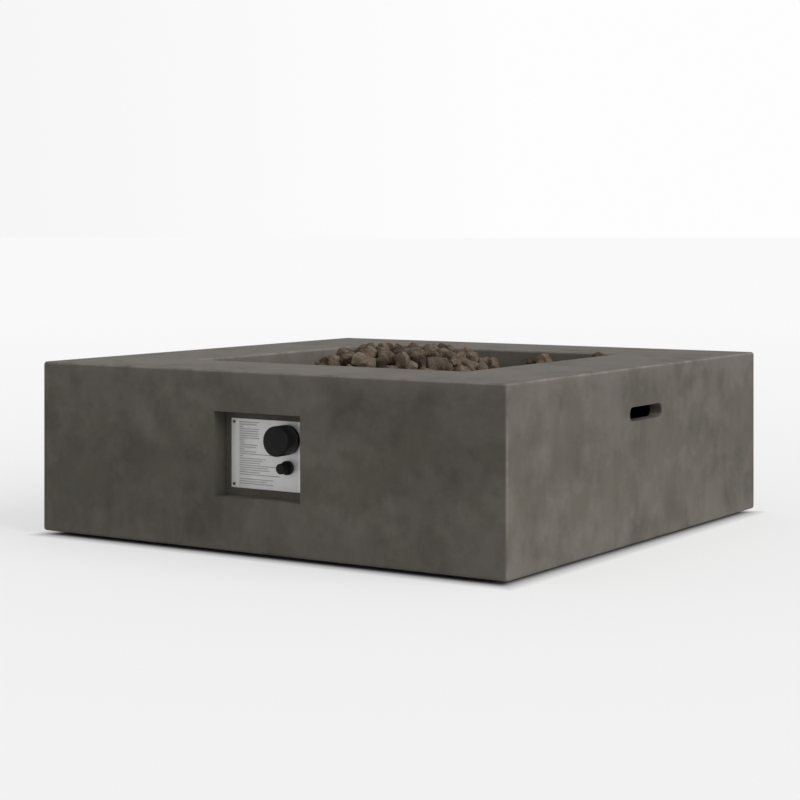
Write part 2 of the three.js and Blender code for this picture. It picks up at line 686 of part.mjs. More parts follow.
const lineStart = valveBack + valveOutletLength + gap;
const lineEnd = -orificeReach - gap;
const lineAlong = (share) => between(lineStart, lineEnd, share);
const gasLineRoute = [
  [controlOffset, lineStart, valveOutletHeight], [controlOffset, lineStart + 8, valveOutletHeight],
  [controlOffset, lineStart + 16, valveOutletHeight],
  [controlOffset + 8, lineStart + 32, valveOutletHeight - 12],
  [controlOffset + 14, lineStart + 38, between(valveOutletHeight, orificePort, 0.45)],
  [controlOffset + 10, lineStart + 50, between(valveOutletHeight, orificePort, 0.88)],
  [controlOffset - 10, lineAlong(0.25), orificePort], [controlOffset - 36, lineAlong(0.62), orificePort],
  [0, lineAlong(0.84), orificePort], [0, lineEnd - 34, orificePort], [0, lineEnd - 16, orificePort],
  [0, lineEnd, orificePort]];
const gasLine = () => tubeAlong(gasLineRoute, gasLineRadius, 10, 34);

const lineNutAt = (x, z, from, to) => cut(
  hexBar('y', 19, from, to, [x, z]),
  bar('y', gasLineRadius + 0.6, from - 1, to + 1, [x, z], 16));

function inletFitting() {
  const end = inletEnd - gap;
  return cut(
    union(hexBar('x', 18, end - 10, end, inletAxis), bar('x', 7.5, end - 28, end - 9, inletAxis, 20)),
    bar('x', 4, end - 29, end - 4, inletAxis, 12));
}

// Spark electrode, thermocouple and their leads
const electrodeX = sensorSpacing / 2;
const electrodeInsulator = () => turned([
  [0, insulatorBottom], [insulatorRadius, insulatorBottom], [insulatorRadius, insulatorTop - 4],
  [insulatorRadius - 1.2, insulatorTop], [0, insulatorTop]], 'z', [electrodeX, sensorY], 16);
const electrodeRod = () => tubeAlong([
  [electrodeX, sensorY, insulatorTop + gap], [electrodeX, sensorY, insulatorTop + 8],
  [electrodeX - 1, sensorY + 5, insulatorTop + 13],
  [electrodeX - 2, sensorY + 16, insulatorTop + 14]], 1.3, 8, 12);
const thermocouple = () => turned([
  [0, insulatorBottom + 4], [probeRadius, insulatorBottom + 4], [probeRadius, insulatorTop + 2],
  [probeRadius - 1.5, insulatorTop + 5], [0, insulatorTop + 6]], 'z', [-electrodeX, sensorY], 16);

function sensorBracket() {
  const reach = electrodeX + 14;
  const top = panFloorTop + 18;
  const deck = block([-reach, sensorY - 9, top - 1.5], [reach, sensorY + 9, top]);
  const legs = [-1, 1].map((side) => block(
    [Math.min(side * reach, side * (reach - 1.5)), sensorY - 9, panFloorTop + gap],
    [Math.max(side * reach, side * (reach - 1.5)), sensorY + 9, top]));
  return cut(
    union(deck, legs),
    bar('z', insulatorRadius + gap, top - 3, top + 1, [electrodeX, sensorY], 20),
    bar('z', probeRadius + gap, top - 3, top + 1, [-electrodeX, sensorY], 20));
}

const igniterLead = () => {
  const start = barrelBack + 6 + gap;
  const along = (share) => between(start, sensorY, share);
  return tubeAlong([
    [controlOffset, start, igniterHeight], [controlOffset - 1, start + 14, igniterHeight - 1],
    [40, along(0.22), between(igniterHeight, leadLevel, 0.4)], [34, along(0.52), leadLevel + 1],
    [31, along(0.82), leadLevel], [electrodeX, sensorY - 10, leadLevel],
    [electrodeX, sensorY, insulatorBottom - 8], [electrodeX, sensorY, insulatorBottom - gap]], 2, 8, 30);
};

const thermocoupleLead = () => {
  const start = valveBack + sensorBossLength + gap;
  const along = (share) => between(start, sensorY, share);
  const drop = (share) => between(sensorBossAxis[1], leadLevel, share);
  const startX = sensorBossAxis[0];
  return tubeAlong([
    [startX, start, drop(0)], [startX - 2, start + 11, drop(0.02)], [10, along(0.16), drop(0.25)],
    [-14, along(0.30), drop(0.64)], [-27, along(0.53), drop(0.90)], [-31, along(0.80), drop(0.98)],
    [-electrodeX, sensorY - 10, leadLevel + 2], [-electrodeX, sensorY, insulatorBottom - 6],
    [-electrodeX, sensorY, insulatorBottom + 4 - gap]], 1.5, 8, 34);
};

// Heat shield under the pan
function heatShield() {
  const side = shieldSide / 2;
  const inner = side - shieldSheet;
  const sheet = block([-side, -side, shieldBottom], [side, side, shieldTop]);
  const lips = cut(
    block([-side, -side, shieldBottom - 10], [side, side, shieldTop]),
    block([-inner, -inner, shieldBottom - 11], [inner, inner, shieldBottom]));
  const holes = fourCorners(standoffSpacing / 2).map((at) => bar(
    'z', standoffStudRadius + gap, shieldBottom - 1, shieldTop + 1, at, 12));
  const mixerHole = bar('z', mixerRadius + 6, shieldBottom - 1, shieldTop + 1, [0, 0], 32);
  return cut(union(sheet, lips), holes, mixerHole);
}

const shieldStandoff = (at) => union(
  bar('z', 6, shieldTop + gap, panFloorBottom - gap, at, 12),
  bar('z', standoffStudRadius, shieldBottom - 9, panFloorTop + 2, at, 12));

const shieldNut = (at) => cut(
  hexBar('z', 10, shieldBottom - 6, shieldBottom - gap, at),
  bar('z', standoffStudRadius + gap, shieldBottom - 7, shieldBottom, at, 12));

// Assembly
addPiece('concrete_shell', materials.concrete, concreteShell());
fourCorners(footCentre).forEach((at, i) => {
  addPiece(`foot_pad_${i + 1}`, materials.rubber, footPad(at));
  addPiece(`foot_screw_${i + 1}`, materials.darkScrew, footScrew(at));
});
addPiece('control_plate', materials.stainless, controlPlate());
fourCorners(plateScrewX, plateScrewZ).forEach((at, i) => {
  addPiece(`plate_screw_${i + 1}`, materials.darkScrew, plateScrew(at));
});
addPiece('gas_valve_body', materials.brass, valveBody());
addPiece('valve_plug', materials.brass, valvePlug());
addPiece('valve_stem', materials.stainless, valveStem());
addPiece('valve_screw_1', materials.darkScrew, valveScrew(-1));
addPiece('valve_screw_2', materials.darkScrew, valveScrew(1));
addPiece('knob_bezel', materials.blackPlastic, knobBezel());
addPiece('control_knob', materials.blackPlastic, controlKnob());
addPiece('igniter_housing', materials.blackPlastic, igniterHousing());
addPiece('igniter_nut', materials.blackPlastic, igniterNut());
addPiece('igniter_battery', materials.battery, igniterBattery());
addPiece('igniter_button', materials.blackPlastic, igniterButton());
addPiece('igniter_lead', materials.leadJacket, igniterLead());
addPiece('electrode_insulator', materials.ceramic, electrodeInsulator());
addPiece('electrode_rod', materials.stainless, electrodeRod());
addPiece('thermocouple', materials.stainless, thermocouple());
addPiece('thermocouple_lead', materials.copper, thermocoupleLead());
addPiece('sensor_bracket', materials.stainless, sensorBracket());
addPiece('gas_inlet_fitting', materials.brass, inletFitting());
addPiece('gas_line', materials.aluminium, gasLine());
addPiece(
  'line_nut_valve', materials.brass,
  lineNutAt(controlOffset, valveOutletHeight, lineStart, lineStart + 11));
addPiece('line_nut_burner', materials.brass, lineNutAt(0, orificePort, lineEnd - 12, lineEnd));
addPiece('gas_orifice', materials.brass, gasOrifice());
addPiece('mixer_tube', materials.aluminium, mixerTube());
addPiece('air_shutter', materials.galvanised, airShutter());
addPiece('burner_ring', materials.stainless, burner());
addPiece('burner_nut', materials.brass, hubNut());
addPiece('burner_pan', materials.stainless, burnerPan());
addPiece('rock_grate', materials.grateSteel, rockGrate());
addPiece('lava_rock_bed', materials.lavaRock, lavaRockBed());
addPiece('heat_shield', materials.galvanised, heatShield());
fourCorners(standoffSpacing / 2).forEach((at, i) => {
  addPiece(`shield_standoff_${i + 1}`, materials.galvanised, shieldStandoff(at));
  addPiece(`shield_nut_${i + 1}`, materials.galvanised, shieldNut(at));
});

export default firePit;
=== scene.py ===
# Low square gas fire table: cast concrete, lava rock, a recessed control plate with its knob and igniter.
# Metres, +Z up, the control side faces -Y.
import json
import math
import random

import bmesh
import bpy
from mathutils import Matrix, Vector, noise

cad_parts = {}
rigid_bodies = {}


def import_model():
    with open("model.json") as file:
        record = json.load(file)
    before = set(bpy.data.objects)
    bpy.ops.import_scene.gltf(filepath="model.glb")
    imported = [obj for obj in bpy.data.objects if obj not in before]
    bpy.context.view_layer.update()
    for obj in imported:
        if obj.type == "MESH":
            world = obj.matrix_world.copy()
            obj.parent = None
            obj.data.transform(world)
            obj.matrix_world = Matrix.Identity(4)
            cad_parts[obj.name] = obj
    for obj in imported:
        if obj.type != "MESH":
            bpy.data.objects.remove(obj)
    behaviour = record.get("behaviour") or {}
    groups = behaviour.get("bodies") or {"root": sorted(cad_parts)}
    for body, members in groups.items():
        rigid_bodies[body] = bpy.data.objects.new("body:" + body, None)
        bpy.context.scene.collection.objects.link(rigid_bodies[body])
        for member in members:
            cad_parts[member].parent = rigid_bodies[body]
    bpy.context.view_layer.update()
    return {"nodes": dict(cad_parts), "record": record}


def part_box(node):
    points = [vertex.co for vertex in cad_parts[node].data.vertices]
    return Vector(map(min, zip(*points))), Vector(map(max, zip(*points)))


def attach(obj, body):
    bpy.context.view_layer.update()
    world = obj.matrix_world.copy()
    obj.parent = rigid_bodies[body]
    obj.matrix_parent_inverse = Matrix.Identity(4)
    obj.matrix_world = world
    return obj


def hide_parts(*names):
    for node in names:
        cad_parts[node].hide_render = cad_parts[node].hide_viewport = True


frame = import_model()
nodes = frame["nodes"]
mm = 0.001
print("frame loaded:", len(nodes), "nodes")


# the camera looks level along the diagonal and is slid down with its shift
cameraSettings = {
    "place": (2.1693, -3.3778, 0.5958),
    "turn": 33.05,
    "lens": 87.17,
    "shiftUp": -0.2059,
}


def makeCamera(settings):
    data = bpy.data.cameras.new("camera")
    data.lens = settings["lens"]
    data.sensor_width = 36
    data.shift_y = settings["shiftUp"]
    data.clip_end = 500
    camera = bpy.data.objects.new("camera", data)
    camera.location = settings["place"]
    camera.rotation_euler = (math.radians(90), 0, math.radians(settings["turn"]))
    bpy.context.scene.collection.objects.link(camera)
    bpy.context.scene.camera = camera


makeCamera(cameraSettings)
print("camera made")


def addNode(tree, kind, settings=None, **inputs):
    node = tree.nodes.new(kind)
    for name, value in (settings or {}).items():
        setattr(node, name, value)
    for name, value in inputs.items():
        socket = node.inputs[name]
        if isinstance(value, bpy.types.NodeSocket):
            tree.links.new(value, socket)
        else:
            socket.default_value = value
    return node


def newFinish(name, roughness, metallic=0.0, colour=None, **uniform):
    material = bpy.data.materials.new(name)
    material.use_nodes = True
    tree = material.node_tree
    shader = tree.nodes["Principled BSDF"]
    shader.inputs["Roughness"].default_value = roughness
    shader.inputs["Metallic"].default_value = metallic
    if colour:
        shader.inputs["Base Color"].default_value = (*colour, 1)
    for socket, value in uniform.items():
        shader.inputs[socket.replace("_", " ")].default_value = value
    return material, tree, shader


def objectPoint(tree, stretch=(1, 1, 1), turn=(0, 0, 0)):
    coordinates = addNode(tree, "ShaderNodeTexCoord").outputs["Object"]
    mapping = addNode(tree, "ShaderNodeMapping", Vector=coordinates)
    mapping.inputs["Scale"].default_value = stretch
    mapping.inputs["Rotation"].default_value = turn
    return mapping.outputs["Vector"]


def cloud(tree, point, scale, detail=4.0, roughness=0.5, distortion=0.0):
    node = addNode(tree, "ShaderNodeTexNoise", Vector=point, Scale=scale, Detail=detail,
                   Roughness=roughness, Distortion=distortion)
    return node.outputs["Fac"]


def ramp(tree, value, stops, interpolation="LINEAR"):
    node = addNode(tree, "ShaderNodeValToRGB", Fac=value)
    band = node.color_ramp
    band.interpolation = interpolation
    while len(band.elements) < len(stops):
        band.elements.new(0.5)
    for element, (position, colour) in zip(band.elements, stops):
        element.position = position
        element.color = (*colour, 1) if hasattr(colour, "__len__") else (colour, colour, colour, 1)
    return node.outputs["Color"]


def mapped(tree, value, fromLow, fromHigh, toLow, toHigh):
    node = addNode(tree, "ShaderNodeMapRange", {"clamp": True}, Value=value)
    for name, number in (("From Min", fromLow), ("From Max", fromHigh), ("To Min", toLow), ("To Max", toHigh)):
        node.inputs[name].default_value = number
    return node.outputs["Result"]


def mathOf(tree, operation, first, second=0.0):
    node = addNode(tree, "ShaderNodeMath", {"operation": operation})
    for socket, value in zip(node.inputs, (first, second)):
        if isinstance(value, bpy.types.NodeSocket):
            tree.links.new(value, socket)
        else:
            socket.default_value = value
    return node.outputs[0]


def blendColours(tree, factor, first, second, mode="MIX"):
    node = addNode(tree, "ShaderNodeMix", {"data_type": "RGBA", "blend_type": mode})
    for index, value in ((0, factor), (6, first), (7, second)):
        if isinstance(value, bpy.types.NodeSocket):
            tree.links.new(value, node.inputs[index])
        elif index == 0:
            node.inputs[index].default_value = value
        else:
            node.inputs[index].default_value = (*value, 1)
    return node.outputs[2]


def bumpOf(tree, height, distance, strength=1.0, before=None):
    node = addNode(tree, "ShaderNodeBump", Height=height, Strength=strength, Distance=distance)
    if before:
        tree.links.new(before, node.inputs["Normal"])
    return node.outputs["Normal"]


def scaled(colour, factor):
    return tuple(channel * factor for channel in colour)


concreteLook = {
    "colour": (0.154, 0.140, 0.119),
    "olive": (0.128, 0.120, 0.095),
    "blush": (0.176, 0.158, 0.142),
    "cloudScale": 4.6,
    "darkest": 0.72,
    "lightest": 1.30,
    "deckTop": 0.3445,
    "shellBottom": 0.0078,
    "edgeBand": 0.030,
    "fingerHeight": 0.115,
    "roughness": 0.78,
}


def edgeWearAndHighlight(tree, noiseValue):
    # one on rounded edges, nothing on flat faces: paler edges, partly wear and partly a painted highlight where the
    # edges catch light
    normal = addNode(tree, "ShaderNodeNewGeometry").outputs["Normal"]
    parts = addNode(tree, "ShaderNodeSeparateXYZ", Vector=normal)
    sizes = [mathOf(tree, "ABSOLUTE", parts.outputs[axis]) for axis in "XYZ"]
    largest = mathOf(tree, "MAXIMUM", mathOf(tree, "MAXIMUM", sizes[0], sizes[1]), sizes[2])
    rounded = mapped(tree, largest, 0.80, 0.97, 1, 0)
    return mathOf(tree, "MULTIPLY", rounded, mapped(tree, noiseValue, 0.40, 0.60, 0.15, 1))


def castConcrete(look):
    material, tree, shader = newFinish("castConcrete", look["roughness"], Specular_IOR_Level=0.28)
    point = objectPoint(tree)
    base = look["colour"]
    broad = cloud(tree, point, look["cloudScale"], 5, 0.6, 0.2)
    turned = objectPoint(tree, turn=(0.4, 0.3, 0.9))
    patches = cloud(tree, turned, look["cloudScale"] * 3.1, 6, 0.64, 0.15)
    fingers = cloud(tree, objectPoint(tree, (9, 9, 2.2)), 1.9, 4, 0.6, 0.5)
    grain = cloud(tree, point, 420, 3, 0.6)
    tone = mathOf(tree, "ADD", mathOf(tree, "MULTIPLY", broad, 0.50), mathOf(tree, "MULTIPLY", patches, 0.40))
    tone = mathOf(tree, "ADD", tone, mathOf(tree, "MULTIPLY", fingers, 0.10))
    # the middle of the walls is more olive, the top and the foot pinker
    height = addNode(tree, "ShaderNodeSeparateXYZ", Vector=point).outputs["Z"]
    fromMiddle = mathOf(tree, "ABSOLUTE", mathOf(tree, "SUBTRACT", height, look["deckTop"] / 2))
    pinker = mapped(tree, fromMiddle, look["deckTop"] * 0.15, look["deckTop"] * 0.5, -0.05, 0.06)
    warmth = cloud(tree, objectPoint(tree, turn=(0.9, 0.2, 0.5)), 9.0, 4, 0.6)
    warmth = mathOf(tree, "ADD", warmth, pinker)
    body = ramp(tree, tone, [
        (0.415, scaled(base, look["darkest"])), (0.5, base), (0.585, scaled(base, look["lightest"]))])
    body = blendColours(tree, mapped(tree, warmth, 0.50, 0.64, 0, 0.55), body, look["blush"])
    body = blendColours(tree, mapped(tree, warmth, 0.50, 0.36, 0, 0.55), body, look["olive"])
    # a paler bloom along the deck's edge and the foot of the walls, with fingers rising from the foot
    foot = mapped(tree, height, look["shellBottom"], look["shellBottom"] + look["edgeBand"], 1, 0)
    rise = mapped(tree, height, look["shellBottom"], look["shellBottom"] + look["fingerHeight"], 1, 0)
    rise = mathOf(tree, "MULTIPLY", rise, mapped(tree, fingers, 0.47, 0.64, 0, 0.55))
    rim = mapped(tree, height, look["deckTop"] - look["edgeBand"], look["deckTop"] - 0.002, 0, 1)
    bloom = mathOf(tree, "MULTIPLY", mathOf(tree, "MAXIMUM", foot, rim), mapped(tree, patches, 0.4, 0.6, 0.2, 0.7))
    body = blendColours(tree, mathOf(tree, "MAXIMUM", bloom, rise), body, scaled(look["blush"], 1.16))
    # rounded edges made paler: partly wear, partly a painted highlight
    body = blendColours(tree, edgeWearAndHighlight(tree, patches), body, scaled(look["blush"], 1.55))
    body = blendColours(tree, mapped(tree, grain, 0.3, 0.7, 0.0, 0.12), body, scaled(base, 0.6))
    tree.links.new(body, shader.inputs["Base Color"])
    tree.links.new(mapped(tree, patches, 0.3, 0.7, look["roughness"] - 0.08, look["roughness"] + 0.08),
                   shader.inputs["Roughness"])
    skin = bumpOf(tree, cloud(tree, point, 38, 4, 0.5), 0.0008, 0.6)
    skin = bumpOf(tree, grain, 0.00014, 0.5, skin)
    # scattered air holes, as casting leaves them
    cells = addNode(tree, "ShaderNodeTexVoronoi", Vector=point, Scale=75.0).outputs["Distance"]
    holes = mathOf(tree, "MULTIPLY", mapped(tree, cells, 0.05, 0.12, 1, 0),
                   mapped(tree, cloud(tree, point, 14, 1), 0.56, 0.62, 0, 1))
    skin = bumpOf(tree, mathOf(tree, "SUBTRACT", 1.0, holes), 0.0008, 0.35, skin)
    tree.links.new(skin, shader.inputs["Normal"])
    return material


rockLook = {
    "tones": [
        (0.00, (0.046, 0.029, 0.019)), (0.14, (0.088, 0.058, 0.036)), (0.28, (0.135, 0.091, 0.056)),
        (0.42, (0.178, 0.127, 0.080)), (0.56, (0.150, 0.112, 0.077)), (0.70, (0.215, 0.160, 0.106)),
        (0.84, (0.140, 0.115, 0.088)), (1.00, (0.250, 0.193, 0.134)),
    ],
    "roughness": 0.92,
}


def lavaRock(look):
    material, tree, shader = newFinish("lavaRock", look["roughness"])
    point = objectPoint(tree)
    tone = addNode(tree, "ShaderNodeAttribute", {"attribute_name": "rockTone"}).outputs["Fac"]
    body = ramp(tree, tone, look["tones"])
    mottle = cloud(tree, point, 85, 5, 0.65, 0.4)
    body = blendColours(tree, mapped(tree, mottle, 0.40, 0.62, 0.0, 0.75), body, (0.062, 0.038, 0.024))
    dust = cloud(tree, point, 40, 3, 0.6)
    body = blendColours(tree, mapped(tree, dust, 0.50, 0.72, 0.0, 0.45), body, (0.260, 0.208, 0.150))
    tree.links.new(body, shader.inputs["Base Color"])
    cells = addNode(tree, "ShaderNodeTexVoronoi", Vector=point, Scale=420.0).outputs["Distance"]
    pits = mapped(tree, cells, 0.05, 0.45, 0, 1)
    skin = bumpOf(tree, pits, 0.0011, 0.6)
    skin = bumpOf(tree, cloud(tree, point, 130, 5, 0.65), 0.0030, 0.9, skin)
    tree.links.new(skin, shader.inputs["Normal"])
    tree.links.new(mapped(tree, mottle, 0.3, 0.7, 0.85, 1.0), shader.inputs["Roughness"])
    return material


def brushedMetal(name, colour, roughness, brushAlong=(1, 60, 60), tint=0.12, scratch=0.00002, spots=0.0,
                 metallic=1.0):
    material, tree, shader = newFinish(name, roughness, metallic)
    stretched = tuple(1 / value if value == 1 else value for value in brushAlong)
    lines = cloud(tree, objectPoint(tree, stretched), 22, 4, 0.7)
    smears = cloud(tree, objectPoint(tree), 26, 3, 0.6, 0.5)
    body = ramp(tree, smears, [(0.35, scaled(colour, 1 - tint)), (0.65, scaled(colour, 1 + tint * 0.5))])
    body = blendColours(tree, mapped(tree, lines, 0.3, 0.7, 0, 0.25), body, scaled(colour, 0.8))
    if spots:
        cells = addNode(tree, "ShaderNodeTexVoronoi", Vector=objectPoint(tree), Scale=130.0).outputs["Color"]
        body = blendColours(tree, mapped(tree, cells, 0.2, 0.9, 0, spots), body, scaled(colour, 0.62))
    tree.links.new(body, shader.inputs["Base Color"])
    tree.links.new(mapped(tree, lines, 0.25, 0.75, roughness - 0.07, roughness + 0.10), shader.inputs["Roughness"])
    tree.links.new(bumpOf(tree, lines, scratch, 0.6), shader.inputs["Normal"])
    return material


def mouldedPlastic(name, colour, roughness, grainScale=900.0, wear=0.25, **uniform):
    material, tree, shader = newFinish(name, roughness, **uniform)
    point = objectPoint(tree)
    grain = cloud(tree, point, grainScale, 3, 0.6)
    smudge = cloud(tree, point, 45, 3, 0.6, 0.4)
    body = ramp(tree, smudge, [(0.35, scaled(colour, 1 - wear)), (0.65, scaled(colour, 1 + wear))])
    body = blendColours(tree, mapped(tree, grain, 0.35, 0.7, 0, 0.25), body, scaled(colour, 1.5))
    tree.links.new(body, shader.inputs["Base Color"])
    tree.links.new(mapped(tree, smudge, 0.3, 0.7, roughness - 0.06, roughness + 0.08), shader.inputs["Roughness"])
    tree.links.new(bumpOf(tree, grain, 0.00006, 0.5), shader.inputs["Normal"])
    return material


def heatBlackenedSteel():
    material, tree, shader = newFinish("heatBlackenedSteel", 0.62, 0.7)
    point = objectPoint(tree)
    scale = cloud(tree, point, 55, 5, 0.65, 0.6)
    body = ramp(tree, scale, [
        (0.34, (0.018, 0.017, 0.016)), (0.52, (0.050, 0.044, 0.040)), (0.70, (0.120, 0.070, 0.045))])
    tree.links.new(body, shader.inputs["Base Color"])
    tree.links.new(mapped(tree, scale, 0.3, 0.7, 0.5, 0.85), shader.inputs["Roughness"])
    tree.links.new(bumpOf(tree, cloud(tree, point, 300, 4, 0.6), 0.0002, 0.7), shader.inputs["Normal"])
    return material


def printedBattery():
    material, tree, shader = newFinish("printedBattery", 0.32, 0.5)
    along = addNode(tree, "ShaderNodeSeparateXYZ", Vector=objectPoint(tree)).outputs["Y"]
    bands = ramp(tree, mapped(tree, along, -0.490, -0.438, 0, 1), [
        (0.0, (0.45, 0.46, 0.48)), (0.24, (0.09, 0.10, 0.12))], "CONSTANT")
    scuffs = cloud(tree, objectPoint(tree), 120, 4, 0.6)
    body = blendColours(tree, mapped(tree, scuffs, 0.45, 0.7, 0, 0.35), bands, (0.30, 0.31, 0.33))
    tree.links.new(body, shader.inputs["Base Color"])
    tree.links.new(mapped(tree, scuffs, 0.3, 0.7, 0.25, 0.45), shader.inputs["Roughness"])
    return material


finishes = {
    "concrete": castConcrete(concreteLook),
    "stainless": brushedMetal("brushedStainless", (0.56, 0.565, 0.55), 0.42, (1, 60, 60)),
    "galvanised": brushedMetal("zincSheet", (0.48, 0.49, 0.50), 0.50, (3, 3, 3), 0.18, 0.00003, 0.5),
    "grate_steel": heatBlackenedSteel(),
    "black_plastic": mouldedPlastic("satinBlack", (0.013, 0.013, 0.0135), 0.42, Specular_IOR_Level=0.14),
    "brass": brushedMetal("turnedBrass", (0.70, 0.50, 0.22), 0.30, (50, 1, 50), 0.16),
    "aluminium": brushedMetal("drawnAluminium", (0.62, 0.63, 0.64), 0.38, (30, 30, 1), 0.10),
    "ceramic": mouldedPlastic("glazedCeramic", (0.76, 0.72, 0.64), 0.22, 240.0, 0.06, Coat_Weight=0.4),
    "dark_screw": brushedMetal("darkScrewSteel", (0.13, 0.12, 0.11), 0.40, (40, 40, 40), 0.2),
    "rubber": mouldedPlastic("mouldedRubber", (0.022, 0.022, 0.023), 0.80, 500.0, 0.3),
    "lead_jacket": mouldedPlastic("siliconeLead", (0.105, 0.020, 0.014), 0.50, 600.0, 0.2),
    "copper": brushedMetal("copperCapillary", (0.72, 0.36, 0.22), 0.32, (30, 1, 30), 0.2),
    "battery": printedBattery(),
    "lava_rock": lavaRock(rockLook),
}


def paleSideStrips(material, look):
    # the plate's side strips are a little paler than its middle
    tree = material.node_tree
    shader = tree.nodes["Principled BSDF"]
    under = shader.inputs["Base Color"].links[0].from_socket
    across = addNode(tree, "ShaderNodeSeparateXYZ", Vector=objectPoint(tree)).outputs["X"]
    strip = mapped(tree, mathOf(tree, "ABSOLUTE", across), look["from"], look["to"], 0, 1)
    tree.links.new(blendColours(tree, strip, under, look["colour"]), shader.inputs["Base Color"])


satinPlate = brushedMetal("satinPlate", (0.79, 0.79, 0.78), 0.50, (1, 60, 60), 0.05, 0.00001, metallic=0.55)
paleSideStrips(satinPlate, {"from": 0.0685, "to": 0.0695, "colour": (0.97, 0.965, 0.93)})
for part in frame["record"]["subparts"]:
    mesh = nodes[part["node"]].data
    mesh.materials.clear()
    finish = satinPlate if part["node"] == "control_plate" else finishes[part["material_slot"]]
    mesh.materials.append(finish)
print("finishes made:", len(finishes))


def addObject(name, mesh, slotName, body):
    made = bpy.data.objects.new(name, mesh)
    bpy.context.scene.collection.objects.link(made)
    if not mesh.materials:
        mesh.materials.append(finishes[slotName])
    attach(made, body)
    return made


def finishedMesh(made, smoothAngle=None):
    # turns live modifiers into a plain mesh and takes the working object away
    graph = bpy.context.evaluated_depsgraph_get()
    mesh = bpy.data.meshes.new_from_object(made.evaluated_get(graph))
    bpy.data.objects.remove(made)
    if smoothAngle:
        mesh.polygons.foreach_set("use_smooth", [True] * len(mesh.polygons))
        mesh.set_sharp_from_angle(angle=math.radians(smoothAngle))
    return mesh


def bevelledMesh(name, mesh, width, steps, sharpAngle, smoothAngle=40):
    # only the longer sharp edges are eased, so small holes keep their shape
    shape = bmesh.new()
    shape.from_mesh(mesh)
    weights = shape.edges.layers.float.new("bevel_weight_edge")
    for edge in shape.edges:
        sharp = len(edge.link_faces) == 2 and edge.calc_face_angle() > math.radians(sharpAngle)
        edge[weights] = 1.0 if sharp and edge.calc_length() > 1.5 * width else 0.0
    shape.to_mesh(mesh)
    shape.free()
    mesh.polygons.foreach_set("use_smooth", [True] * len(mesh.polygons))
    mesh.set_sharp_from_angle(angle=math.radians(smoothAngle))
    work = bpy.data.objects.new(name + "Work", mesh)
    bpy.context.scene.collection.objects.link(work)
    modifier = work.modifiers.new("easedEdges", "BEVEL")
    modifier.width = width
    modifier.segments = steps
    modifier.limit_method = "WEIGHT"
    modifier.miter_outer = "MITER_ARC"
    modifier.use_clamp_overlap = True
    evened = work.modifiers.new("evenShading", "WEIGHTED_NORMAL")
    evened.keep_sharp = True
    result = finishedMesh(work)
    result.name = name
    return result


def mergedCopy(nodeName):
    mesh = nodes[nodeName].data.copy()
    mesh.materials.clear()
    shape = bmesh.new()
    shape.from_mesh(mesh)
    bmesh.ops.remove_doubles(shape, verts=shape.verts, dist=0.00001)
    bmesh.ops.dissolve_limit(shape, angle_limit=math.radians(0.6), verts=shape.verts, edges=shape.edges,
                             use_dissolve_boundaries=False)
    shape.to_mesh(mesh)
    shape.free()
    return mesh


# the cast shell, with its edges eased as a mould leaves them
castingSettings = {"edgeEase": 2.0 * mm, "easeSteps": 3, "sharpAngle": 50}
castingMesh = bevelledMesh("concreteCasting", mergedCopy("concrete_shell"), castingSettings["edgeEase"],
                           castingSettings["easeSteps"], castingSettings["sharpAngle"])
casting = addObject("concreteCasting", castingMesh, "concrete", "table")
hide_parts("concrete_shell")
print("casting:", len(castingMesh.polygons), "faces")


def arcPoints(centreRadius, centreDepth, radius, fromAngle, toAngle, steps):
    points = []
    for step in range(steps + 1):
        angle = math.radians(fromAngle + (toAngle - fromAngle) * step / steps)
        points.append((centreRadius + radius * math.cos(angle), centreDepth + radius * math.sin(angle)))
    return points


def turnedMesh(name, profile, axisX, axisZ, sides):
    # profile: (radius, y) pairs along a closed outline that starts and ends on the axis, or is a ring
    shape = bmesh.new()
    rings = []
    for radius, depth in profile:
        if radius < 1e-7:
            rings.append([shape.verts.new((axisX, depth, axisZ))])
            continue
        rings.append([
            shape.verts.new((axisX + radius * math.cos(2 * math.pi * i / sides), depth,
                             axisZ + radius * math.sin(2 * math.pi * i / sides)))
            for i in range(sides)])
    closed = len(rings[0]) > 1
    pairs = list(zip(rings, rings[1:])) + ([(rings[-1], rings[0])] if closed else [])
    for first, second in pairs:
        for i in range(sides):
            j = (i + 1) % sides
            corners = [first[i % len(first)], first[j % len(first)],
                       second[j % len(second)], second[i % len(second)]]
            unique = list(dict.fromkeys(corners))
            if len(unique) > 2:
                shape.faces.new(unique)
    bmesh.ops.recalc_face_normals(shape, faces=shape.faces)
    mesh = bpy.data.meshes.new(name)
    shape.to_mesh(mesh)
    shape.free()
    mesh.polygons.foreach_set("use_smooth", [True] * len(mesh.polygons))
    mesh.set_sharp_from_angle(angle=math.radians(35))
    return mesh


# the control knob: a plain drum with a soft rim, a hollow back and a round socket's boss
def nodeAxis(nodeName):
    low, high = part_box(nodeName)
    return (low.x + high.x) / 2, (low.z + high.z) / 2, low.y, high.y, (high.x - low.x) / 2


knobSettings = {"rimRadius": 5.6 * mm, "dome": 1.2 * mm, "wall": 3 * mm, "cavity": 9 * mm, "sides": 96}


def controlKnob(settings):
    x, z, front, back, radius = nodeAxis("control_knob")
    rim = settings["rimRadius"]
    dome = settings["dome"]
    flat = radius - rim
    face = [(flat * step / 8, front + dome * (step / 8) ** 2.4) for step in range(8)]
    edge = arcPoints(flat, front + dome + rim, rim, -78, 0, 9)
    skirt = [(radius, back - 1.2 * mm), (radius - 0.4 * mm, back - 0.3 * mm), (radius - 0.9 * mm, back)]
    inside = [(radius - settings["wall"], back), (radius - settings["wall"], front + settings["cavity"]),
              (8 * mm, front + settings["cavity"]), (8 * mm, back - 4 * mm), (4.3 * mm, back - 4 * mm),
              (4.3 * mm, front + 12 * mm), (0, front + 12 * mm)]
    return turnedMesh("controlKnob", face + edge + skirt + inside, x, z, settings["sides"])


